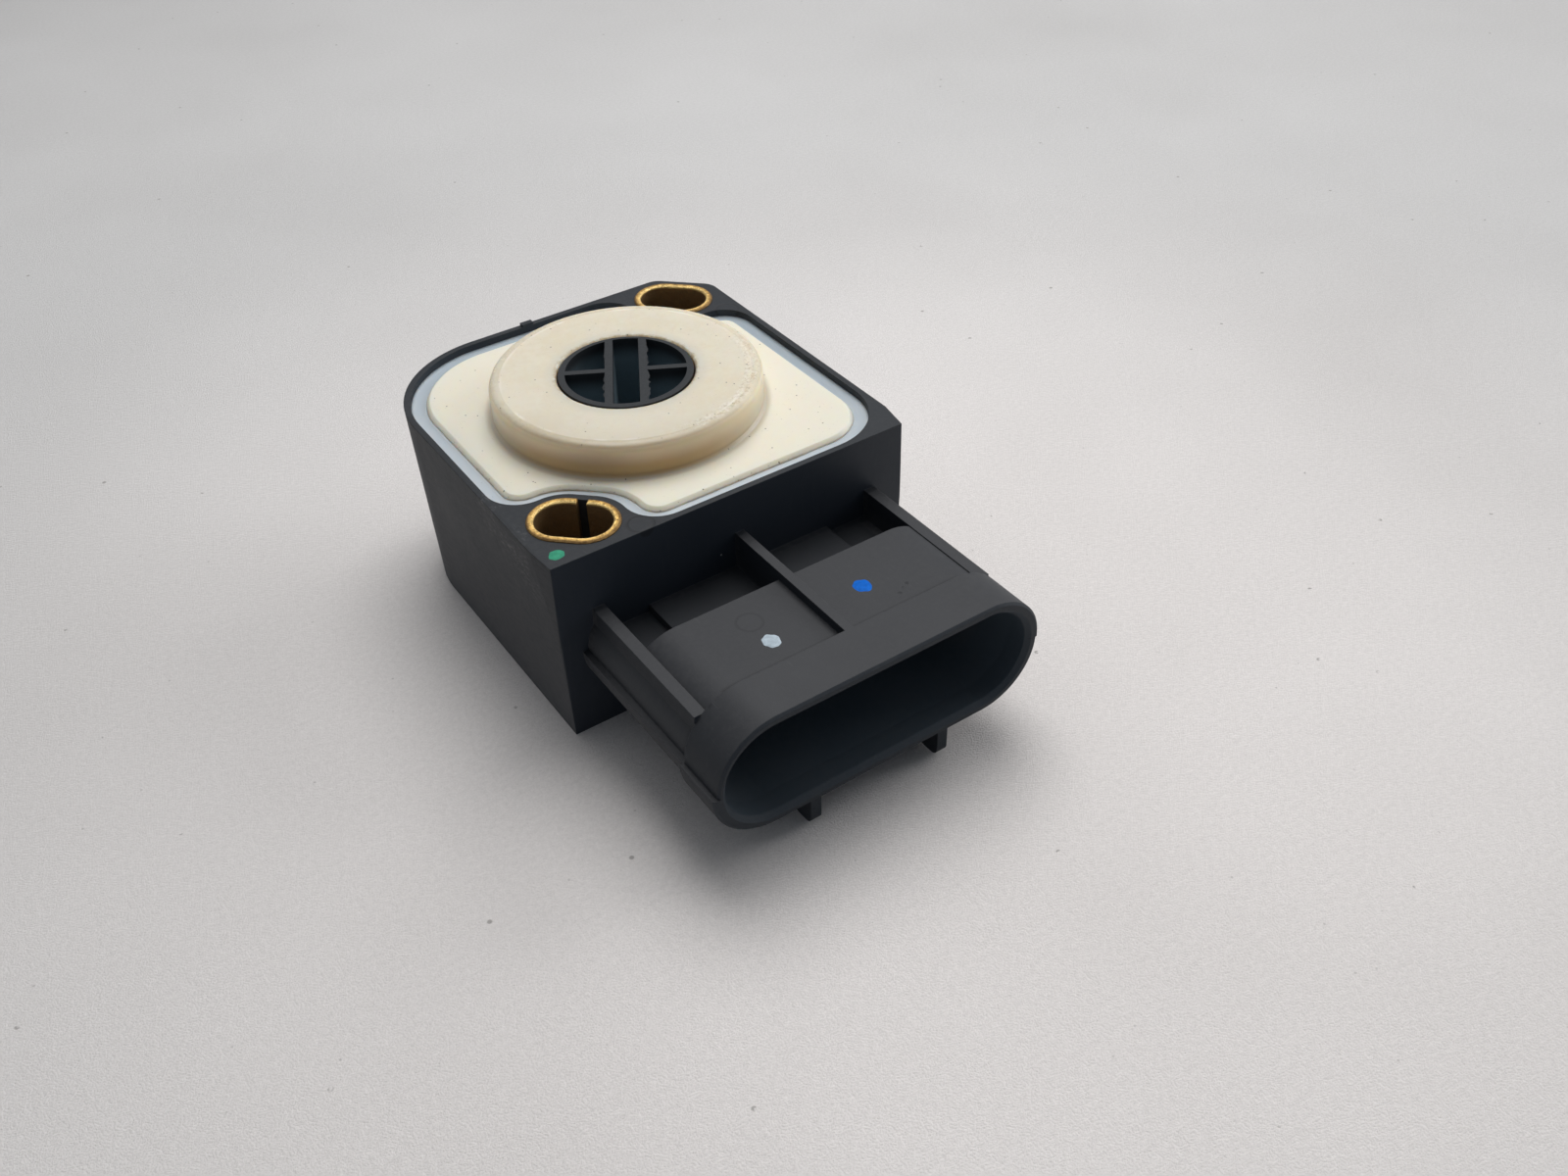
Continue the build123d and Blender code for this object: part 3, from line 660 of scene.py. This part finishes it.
def rolledBrass(look):
    finish = newFinish("sleeve_brass")
    x, y, z = finish.axes()
    fine = finish.clouds(*look["fine"])
    deep = finish.ramp(z - topOf("rear_mounting_sleeve"), *look["brightEdge"])
    half = finish.node("Math", {"operation": "SIGN"}, {0: x})
    middleX, middleY = look["middle"]
    outX, outY = Vector(look["middle"]).normalized()
    awayX = x * half - middleX
    awayY = y * half - middleY
    across = awayX * outX + awayY * outY
    along = finish.unsigned(awayY * outX - awayX * outY)
    reach = finish.slope(finish.larger(along - look["halfStraight"], 0.0), across)
    outerEdge = finish.ramp(reach + fine * look["outerRagged"], *look["outerEdge"])
    innerEdge = finish.ramp(reach + fine * look["innerRagged"], *look["innerEdge"])
    tarnish = finish.ramp(finish.clouds(*look["tarnish"]), *look["tarnishLevels"])
    pits = finish.ramp(finish.clouds(*look["pits"]), *look["pitLevels"])
    glints = finish.specks(*look["glints"]) * (1 - deep)
    colour = finish.mix(tarnish * look["tarnishShare"], look["brass"], look["dull"])
    colour = finish.mix(innerEdge * look["rubbedShare"], colour, look["rubbed"])
    # the outer edge is painted brown: oxide, and painted shade on its chamfer
    colour = finish.mix(pits * look["pitShare"] + outerEdge * look["outerShare"], colour, look["brown"])
    colour = finish.mix(deep * look["deepShare"], colour, look["brown"])
    rough = look["rough"] + fine * look["fineRough"] + deep * look["deepRough"]
    rough = rough + tarnish * look["tarnishRough"] + outerEdge * look["outerRough"]
    height = fine + finish.clouds(*look["dents"]) - pits * look["pitDepth"] + glints * look["glintHeight"]
    return finish.surface({
        "Base Color": colour,
        "Metallic": 1 - look["deepDirt"] * deep,
        "Roughness": rough - glints * look["glintSmooth"],
        "Normal": finish.bump(height, look["bumpDepth"], finish.soft(look["softEdge"])),
    })


brass = rolledBrass(sleeveLook)
dress("front_mounting_sleeve", brass)
dress("rear_mounting_sleeve", brass)
print("sleeves dressed")


# rotor and what turns with it
rotorLook = {
    "charcoal": (0.020, 0.023, 0.026),
    "pale": (0.018, 0.0195, 0.021),
    "deep": (0.21, 0.28, 0.32),  # dust on the pockets' floors
    "dust": (0.18, 0.17, 0.15),
    "fine": (2.2, 5.0, 0.65),  # noises have a scale, detail and roughness
    "grain": (6.0, 2.0, 0.5),
    "topFade": (-0.25, -0.05),  # below the rotor's top
    "deepFade": (-0.6, -3.2),
    "paleShare": 0.35,
    "palePatches": 0.6,
    "dustSpecks": (2.4, 0.16),  # scale and size
    "dustLevels": (0.5, 0.6),
    "dustShare": 0.4,
    "rough": 0.55,
    "fineRough": 0.3,
    "bumpDepth": 0.02,
    "softEdge": 0.08,
    "specular": 0.26,
}
plainLooks = {  # pieces that hardly show: two colours, metallic or not, roughness and noise
    "seal_rubber": {
        "pieces": ("rotor_seal",),
        "colours": ((0.018, 0.018, 0.018), (0.035, 0.035, 0.034)),
        "metal": 0.0,
        "rough": 0.7,
        "noise": (2.0, 4.0, 0.65),
    },
    "spring_steel": {
        "pieces": ("spring_washer",),
        "colours": ((0.55, 0.55, 0.55), (0.38, 0.37, 0.36)),
        "metal": 1.0,
        "rough": 0.32,
        "noise": (1.5, 4.0, 0.65),
    },
    "contact_metal": {
        "pieces": ("signal_wiper", "idle_wiper"),
        "colours": ((0.72, 0.60, 0.36), (0.55, 0.42, 0.22)),
        "metal": 1.0,
        "rough": 0.28,
        "noise": (2.0, 4.0, 0.65),
    },
    "tinned_metal": {
        "pieces": ("terminal",),
        "colours": ((0.60, 0.60, 0.58), (0.42, 0.42, 0.41)),
        "metal": 1.0,
        "rough": 0.34,
        "noise": (1.6, 4.0, 0.65, (3.0, 0.4, 3.0)),
    },
}
plainShape = {"levels": (0.35, 0.68), "noiseRough": 0.25, "bumpDepth": 0.02}


def rotorPlastic(look):
    finish = newFinish("rotor_plastic")
    overTop = finish.axes()[2] - topOf("rotor")
    fine = finish.clouds(*look["fine"])
    top = finish.ramp(overTop, *look["topFade"]) * (look["paleShare"] + look["palePatches"] * fine)
    dust = finish.specks(*look["dustSpecks"]) * finish.ramp(fine, *look["dustLevels"])
    colour = finish.mix(top, look["charcoal"], look["pale"])
    colour = finish.mix(finish.ramp(overTop, *look["deepFade"]), colour, look["deep"])
    colour = finish.mix(dust * look["dustShare"], colour, look["dust"])
    height = fine + finish.clouds(*look["grain"])
    return finish.surface({
        "Base Color": colour,
        "Roughness": look["rough"] + sway(fine, look["fineRough"]),
        "Normal": finish.bump(height, look["bumpDepth"], finish.soft(look["softEdge"])),
        "Specular IOR Level": look["specular"],
    })


def plainFinish(name, look, shape):
    finish = newFinish(name)
    cloud = finish.clouds(*look["noise"])
    return finish.surface({
        "Base Color": finish.mix(finish.ramp(cloud, *shape["levels"]), *look["colours"]),
        "Metallic": look["metal"],
        "Roughness": look["rough"] + sway(cloud, shape["noiseRough"]),
        "Normal": finish.bump(cloud, shape["bumpDepth"]),
    })


rotorFinish = rotorPlastic(rotorLook)
dress("rotor", rotorFinish)
for finishName, look in plainLooks.items():
    material = plainFinish(finishName, look, plainShape)
    for nodeName in nodes:
        if nodeName.startswith(look["pieces"]):
            dress(nodeName, material)
print("rotor and terminals dressed")


# thin ragged flash along the rotor's two bars
flashLook = {
    "slotAngle": 60.7,
    "barSide": 2.6,  # from the slot's middle to a bar's outer side
    "rooted": 0.05,  # how far it starts inside the bar
    "top": 29.33,
    "thickness": 0.07,
    "tip": 0.4,  # of the thickness, at the free edge
    "step": 0.09,
    "slow": (0.9, 7.0),  # waves per millimetre, and which row of the noise
    "quick": (3.7, 3.0),
    "quickShare": 0.7,
    "width": 0.35,  # of a run's reach
    "swing": 0.9,
    "least": 0.04,
    "taper": 0.5,
    "droop": 0.25,  # of the width
    "droopWave": (2.0, 5.0),
    "runs": [(1, -6.2, -0.4, 0.42), (1, 1.2, 5.8, 0.16), (-1, 0.95, 6.6, 0.34), (-1, -6.4, -0.2, 0.40)],
}


def flashSpots(look, side, start, reach, along, share):  # its section at one place of a run
    slowScale, slowRow = look["slow"]
    quickScale, quickRow = look["quick"]
    droopScale, droopRow = look["droopWave"]
    wave = noise.noise((along * slowScale, side * slowRow, start))
    wave += look["quickShare"] * noise.noise((along * quickScale, side * quickRow, start))
    wide = reach * max(look["least"], look["width"] + look["swing"] * wave)
    wide *= math.sin(math.pi * share) ** look["taper"]
    droop = look["droop"] * wide * (1 + noise.noise((along * droopScale, droopRow, start)))
    inner = side * (look["barSide"] - look["rooted"])
    outer = side * (look["barSide"] + wide)
    return [
        (along, inner, look["top"]),
        (along, outer, look["top"] - droop),
        (along, outer, look["top"] - droop - look["thickness"] * look["tip"]),
        (along, inner, look["top"] - look["thickness"]),
    ]


def makeFlash(look):
    body = bmesh.new()
    turn = Matrix.Rotation(math.radians(look["slotAngle"]), 3, "Z")
    for side, start, end, reach in look["runs"]:
        count = round((end - start) / look["step"])
        before = None
        for index in range(count + 1):
            share = index / count
            spots = flashSpots(look, side, start, reach, start + (end - start) * share, share)
            row = [body.verts.new(turn @ Vector(spot) * mm) for spot in spots]
            if before:
                for corner in range(len(row)):
                    body.faces.new((before[corner - 1], before[corner], row[corner], row[corner - 1]))
            else:
                body.faces.new(row)
            before = row
        body.faces.new(before)
    bmesh.ops.recalc_face_normals(body, faces=body.faces)
    return finishMesh("rotor_flash", body, False)


flash = makeFlash(flashLook)
flash.data.materials.append(rotorFinish)
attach(flash, "rotor_body")
print("flash added")


# track board inside the housing
boardLook = {
    "laminate": (0.30, 0.25, 0.12),
    "weave": (0.22, 0.18, 0.08),
    "track": (0.016, 0.016, 0.017),
    "warp": (1.4, 2.0, 0.5, (0.3, 3.0, 1.0)),  # noises have a scale, detail, roughness and stretch
    "weft": (1.4, 2.0, 0.5, (3.0, 0.3, 1.0)),
    "weaveLevels": (0.15, 0.35),
    "trackFade": (-0.07, -0.03),  # below the board's top
    "rough": 0.55,
    "trackSmooth": 0.15,
    "bumpDepth": 0.02,
}


def trackedBoard(look):
    finish = newFinish("board_laminate")
    raised = finish.ramp(finish.axes()[2] - topOf("track_board"), *look["trackFade"])
    weave = finish.clouds(*look["warp"]) * finish.clouds(*look["weft"])
    colour = finish.mix(finish.ramp(weave, *look["weaveLevels"]), look["laminate"], look["weave"])
    return finish.surface({
        "Base Color": finish.mix(raised, colour, look["track"]),
        "Roughness": look["rough"] - raised * look["trackSmooth"],
        "Normal": finish.bump(weave, look["bumpDepth"]),
    })


dress("track_board", trackedBoard(boardLook))
print("board dressed")


# sealant bead, poured round the cover and slightly uneven
sealantLook = {
    "colour": (0.39, 0.455, 0.51),
    "pale": (0.545, 0.595, 0.635),
    "paintedLightWay": (-0.55, -0.83, 0.0),  # painted light: the bead is painted paler towards the front left, lifting the shade there
    "paintedLightFade": (-12.0, 22.0),
    "paintedLightRagged": 10.0,
    "dust": (0.16, 0.13, 0.10),
    "dustSpecks": (1.4, 0.09),  # scale and size
    "dustLevels": (0.5, 0.6),
    "dustShare": 0.6,
    "broad": (0.22, 3.0, 0.6),  # noises have a scale, detail and roughness
    "fine": (1.2, 3.0, 0.5),
    "rough": 0.48,
    "fineRough": 0.15,
    "bumpDepth": 0.010,
    "specular": 0.35,
    "glowWeight": 0.6,
    "glowTint": (0.6, 0.8, 1.0),
    "glow": 0.9,  # how far light wanders inside, in millimetres
    "weld": 0.001,
    "topTurn": 0.9,  # how far up a face of the CAD bead's top looks
    "stations": 520,
    "across": 9,
    "climbRim": 0.12,  # how far the bead wets the rim's wall
    "climbPlate": 0.13,
    "rimPower": 4,  # a higher power keeps the climb closer to the wall
    "platePower": 5,
    "sag": 0.03,
    "wobble": 0.04,
    "wobbleLength": 6.0,
    "ripple": (0.3, 0.4),  # length and height, against the wobble's
    "rimWobble": 0.5,  # at the rim it wobbles less than at the plate
    "bubblePlace": (-11.55, -21.56),
    "bubbleSize": 0.35,
    "bubbleDepth": 0.25,
}


def beadLoops(look):  # the CAD bead's two top edges, the outer one first
    body = bmesh.new()
    body.from_mesh(nodes["sealant_bead"].data)
    bmesh.ops.remove_doubles(body, verts=body.verts, dist=look["weld"] * mm)
    body.normal_update()
    top = {face for face in body.faces if face.normal.z > look["topTurn"]}
    links = {}
    for edge in body.edges:
        if sum(face in top for face in edge.link_faces) == 1:
            first, second = (vert.co.copy().freeze() for vert in edge.verts)
            links.setdefault(first, []).append(second)
            links.setdefault(second, []).append(first)
    body.free()
    loops = []
    while links:
        loop = [min(links, key=tuple)]
        while loop[-1] in links:
            onward = [co for co in links.pop(loop[-1]) if co in links]
            if not onward:
                break
            loop.append(onward[0])
        loops.append(loop)
    loops.sort(key=lambda loop: -loopLength(loop))
    return loops


def loopLength(loop):
    return sum((loop[i] - loop[i - 1]).length for i in range(len(loop)))


def evenPoints(loop, count):
    ends = loop + loop[:1]
    runs = [(ends[i + 1] - ends[i]).length for i in range(len(loop))]
    step = sum(runs) / count
    points = []
    side = 0
    passed = 0.0
    for index in range(count):
        while passed + runs[side] < index * step:
            passed += runs[side]
            side += 1
        points.append(ends[side].lerp(ends[side + 1], (index * step - passed) / runs[side]))
    return points


def nearestOn(loop, point):
    best = None
    for index in range(len(loop)):
        start = loop[index - 1]
        run = loop[index] - start
        share = min(1.0, max(0.0, (point - start).dot(run) / run.length_squared))
        found = start + run * share
        if best is None or (found - point).length < (best - point).length:
            best = found
    return best


def makeBead(look):
    outer, inner = beadLoops(look)
    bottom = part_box("sealant_bead")[0].z
    rippleLength, rippleHeight = look["ripple"]
    body = bmesh.new()
    rings = []
    for point in evenPoints(outer, look["stations"]):
        target = nearestOn(inner, point)
        wander = noise.noise(point / (look["wobbleLength"] * mm)) * look["wobble"]
        ripple = noise.noise(point / (look["wobbleLength"] * rippleLength * mm))
        wander += ripple * look["wobble"] * rippleHeight
        ring = [body.verts.new((point.x, point.y, bottom))]
        for index in range(look["across"]):
            share = index / (look["across"] - 1)
            level = look["climbRim"] * (1 - share) ** look["rimPower"]
            level += look["climbPlate"] * share ** look["platePower"]
            level += wander * (look["rimWobble"] + share) - look["sag"] * 4 * share * (1 - share)
            spot = point.lerp(target, share)
            away = Vector((spot.x, spot.y)) / mm - Vector(look["bubblePlace"])
            level -= look["bubbleDepth"] * math.exp(-((away.length / look["bubbleSize"]) ** 2))
            ring.append(body.verts.new((spot.x, spot.y, point.z + level * mm)))
        ring.append(body.verts.new((target.x, target.y, bottom)))
        rings.append(ring)
    for index, ring in enumerate(rings):
        before = rings[index - 1]
        for side in range(len(ring)):
            body.faces.new((before[side - 1], before[side], ring[side], ring[side - 1]))
    bmesh.ops.recalc_face_normals(body, faces=body.faces)
    return finishMesh("sealant_bead_poured", body)


def paleSealant(look):
    finish = newFinish("pale_sealant")
    broad = finish.clouds(*look["broad"])
    fine = finish.clouds(*look["fine"])
    # painted light: paler towards the front left
    along = finish.dot(finish.place(), look["paintedLightWay"]) + broad * look["paintedLightRagged"]
    colour = finish.mix(finish.ramp(along, *look["paintedLightFade"]), look["colour"], look["pale"])
    dust = finish.specks(*look["dustSpecks"]) * finish.ramp(fine, *look["dustLevels"])
    return finish.surface({
        "Base Color": finish.mix(dust * look["dustShare"], colour, look["dust"]),
        "Roughness": look["rough"] + sway(fine, look["fineRough"]),
        "Normal": finish.bump(fine, look["bumpDepth"]),
        "Specular IOR Level": look["specular"],
        "Subsurface Weight": look["glowWeight"],
        "Subsurface Radius": look["glowTint"],
        "Subsurface Scale": look["glow"] * mm,
    })


bead = makeBead(sealantLook)
bead.data.materials.append(paleSealant(sealantLook))
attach(bead, "sensor_body")
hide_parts("sealant_bead")
dress("sealant_bead", bead.data.materials[0])
print("sealant poured")


# three dots of marking paint
paintDots = {
    "green_paint_dot": {
        "place": (-22.07, -22.64, 25.4),
        "size": (1.05, 0.95),
        "colour": (0.055, 0.34, 0.205),
        "rough": 0.55,
    },
    "white_paint_dot": {
        "place": (-7.09, -41.23, 18.5),
        "size": (1.15, 1.2),
        "colour": (0.52, 0.61, 0.68),
        "rough": 0.6,
    },
    "blue_paint_dot": {
        "place": (6.30, -39.62, 18.5),
        "size": (1.15, 1.25),
        "colour": (0.006, 0.150, 0.66),
        "rough": 0.5,
    },
}
dotShape = {
    "rings": 7,
    "points": 36,
    "height": 0.09,
    "sunk": 0.03,
    "edgePower": 2.6,  # a higher power makes a flatter top with a steeper edge
    "middleHeight": 0.75,
    "rise": 0.35,  # from the middle towards the edge
    "ragged": 0.2,
    "raggedReach": 1.7,
    "noise": (1.8, 3.0, 0.6),  # scale, detail and roughness
    "levels": (0.3, 0.7),
    "darkShare": 0.5,
    "dark": 0.55,  # of the colour, in the darker patches
    "noiseRough": 0.1,
    "bumpDepth": 0.02,
    "specular": 0.06,
}


def makeDot(name, look, shape):
    body = bmesh.new()
    spot = Vector(look["place"])
    sizeX, sizeY = look["size"]
    rings = []
    for ring in range(shape["rings"] + 1):
        share = ring / shape["rings"]
        height = shape["height"] * (1 - share ** shape["edgePower"])
        height = height * (shape["middleHeight"] + shape["rise"] * share) - shape["sunk"] * share
        row = []
        for index in range(shape["points"]):
            turn = 2 * math.pi * index / shape["points"]
            way = Vector((math.cos(turn), math.sin(turn), 0.0))
            ragged = 1 + shape["ragged"] * noise.noise(spot + way * shape["raggedReach"]) * share
            flat = Vector((way.x * sizeX, way.y * sizeY, 0.0)) * share * ragged
            row.append(body.verts.new((spot + flat + Vector((0, 0, height))) * mm))
            if ring == 0:
                break
        rings.append(row)
    for index in range(shape["points"]):
        body.faces.new((rings[0][0], rings[1][index - 1], rings[1][index]))
        for ring in range(1, shape["rings"]):
            inner, outer = rings[ring], rings[ring + 1]
            body.faces.new((inner[index - 1], outer[index - 1], outer[index], inner[index]))
    body.faces.new(rings[-1])
    bmesh.ops.recalc_face_normals(body, faces=body.faces)
    return finishMesh(name, body)


def dotPaint(name, look, shape):
    finish = newFinish(name)
    cloud = finish.clouds(*shape["noise"])
    dark = [channel * shape["dark"] for channel in look["colour"]]
    patches = finish.ramp(cloud, *shape["levels"]) * shape["darkShare"]
    return finish.surface({
        "Base Color": finish.mix(patches, look["colour"], dark),
        "Roughness": look["rough"] + cloud * shape["noiseRough"],
        "Normal": finish.bump(cloud, shape["bumpDepth"]),
        "Specular IOR Level": shape["specular"],
    })


for name, look in paintDots.items():
    dot = makeDot(name, look, dotShape)
    dot.data.materials.append(dotPaint(name, look, dotShape))
    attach(dot, "sensor_body")
print("paint dots added")


# floor, light and camera
floorLook = {
    "radius": 4.0,  # metres
    "points": 96,
    "gap": 0.02,  # under the part
    "colour": (0.92, 0.876, 0.854),
    "far": (0.645, 0.635, 0.628),  # painted light: the sheet is painted greyer away from the middle, a painted pool of light round the part
    "middle": (8.0, -52.0, 0.0),
    "lightPoolFade": (20.0, 195.0),
    "dust": (0.16, 0.14, 0.125),
    "cloud": (0.012, 3.0, 0.5),  # noises have a scale, detail and roughness
    "fibre": (1.5, 4.0, 0.7),
    "grain": (4.2, 3.0, 0.75),
    "cleanLevel": 1.2,  # of the three noises together
    "dustShare": 0.30,
    "motes": [  # scale and size of the specks, scale and levels of where they lie, and share
        (0.05, 0.018, 0.6, (0.52, 0.58), 1.0),
        (0.16, 0.03, 0.3, (0.58, 0.64), 0.5),
    ],
    "moteShare": 0.55,
    "fibreDepth": 0.4,  # against the grain's
    "grainDepth": 0.16,
    "rough": 0.9,
    "specular": 0.2,
}


def floorPaper(look):
    finish = newFinish("floor_paper")
    fibre = finish.clouds(*look["fibre"])
    grain = finish.clouds(*look["grain"])
    dusty = (finish.clouds(*look["cloud"]) + fibre + grain - look["cleanLevel"]) * look["dustShare"]
    motes = 0.0
    for scale, size, fieldScale, levels, share in look["motes"]:
        field = finish.ramp(finish.clouds(fieldScale), *levels)
        motes = motes + finish.specks(scale, size, "2D") * field * share
    # painted light: a pool of light round the part, dimmer further away
    away = finish.distance(look["middle"])
    shade = finish.mix(finish.ramp(away, *look["lightPoolFade"]), look["colour"], look["far"])
    shade = finish.mix(dusty, shade, look["dust"])
    return finish.surface({
        "Base Color": finish.mix(motes * look["moteShare"], shade, look["dust"]),
        "Roughness": look["rough"],
        "Normal": finish.bump(fibre * look["fibreDepth"] + grain, look["grainDepth"]),
        "Specular IOR Level": look["specular"],
    })


def makeFloor(look):
    body = bmesh.new()
    bmesh.ops.create_circle(body, cap_ends=True, radius=look["radius"], segments=look["points"])
    floor = finishMesh("floor", body, False)
    floor.location.z = cadBox[0].z - look["gap"] * mm
    floor.data.materials.append(floorPaper(look))


makeFloor(floorLook)

lamps = {  # distance and size in metres
    "key_lamp": {"way": (0.26, 0.27, 0.93), "far": 0.46, "size": 0.36, "watts": 1.44},
    "side_lamp": {"way": (0.91, -0.06, 0.40), "far": 1.10, "size": 0.70, "watts": 4.2},
}
worldLook = {
    "dim": (0.125, 0.143, 0.165),  # the room behind the camera
    "bright": (0.42, 0.42, 0.42),  # pale wall and ceiling behind the part
    "brightWay": (0.38, 0.62, 0.69),
    "brightTurn": (-0.15, 1.0),
    "seen": (0.40, 0.43, 0.47),
    "seenRays": ("Is Camera Ray", "Is Glossy Ray", "Is Transmission Ray"),
}


def makeLamp(name, look):
    lamp = bpy.data.lights.new(name, "AREA")
    lamp.shape = "DISK"
    lamp.size = look["size"]
    lamp.energy = look["watts"]
    holder = bpy.data.objects.new(name, lamp)
    way = Vector(look["way"]).normalized()
    holder.location = way * look["far"]
    holder.rotation_euler = way.to_track_quat("Z", "Y").to_euler()
    bpy.context.scene.collection.objects.link(holder)


def makeWorld(look):
    world = bpy.data.worlds.new("studio")
    bpy.context.scene.world = world
    sky = Finish(world)
    shown = 0.0
    for ray in look["seenRays"]:
        shown = sky.larger(shown, sky.node("LightPath", out=ray))
    turned = sky.dot(sky.node("TexCoord", out="Generated"), look["brightWay"])
    shade = sky.mix(sky.ramp(turned, *look["brightTurn"]), look["dim"], look["bright"])
    shade = sky.mix(shown, shade, look["seen"])
    sky.node("OutputWorld", {}, {"Surface": sky.node("Background", {}, {"Color": shade, "Strength": 1.0})})


for name, look in lamps.items():
    makeLamp(name, look)
makeWorld(worldLook)

view = {
    "place": (-71.245, -139.948, 122.399),
    "heading": 33.756,  # degrees from +Y towards +X
    "dip": 39.388,
    "roll": 1.612,
    "focal": 1502.407,  # pixels, in a picture 1600 wide
    "pictureWidth": 1600,
    "sensor": 36.0,
    "clipStart": 5.0,
}


def makeCamera(look):
    heading, dip, roll = (math.radians(look[key]) for key in ("heading", "dip", "roll"))
    ahead = Vector((math.sin(heading) * math.cos(dip), math.cos(heading) * math.cos(dip), -math.sin(dip)))
    right = Vector((math.cos(heading), -math.sin(heading), 0.0))
    down = ahead.cross(right)
    across = right * math.cos(roll) + down * math.sin(roll)
    upward = right * math.sin(roll) - down * math.cos(roll)
    camera = bpy.data.cameras.new("camera")
    camera.sensor_width = look["sensor"]
    camera.lens = look["focal"] / look["pictureWidth"] * look["sensor"]
    camera.clip_start = look["clipStart"] * mm
    holder = bpy.data.objects.new("camera", camera)
    turn = Matrix((across, upward, -ahead)).transposed().to_4x4()
    holder.matrix_world = Matrix.Translation(Vector(look["place"]) * mm) @ turn
    bpy.context.scene.collection.objects.link(holder)
    bpy.context.scene.camera = holder


makeCamera(view)
bpy.context.scene.view_settings.view_transform = "Standard"
print("stage set")
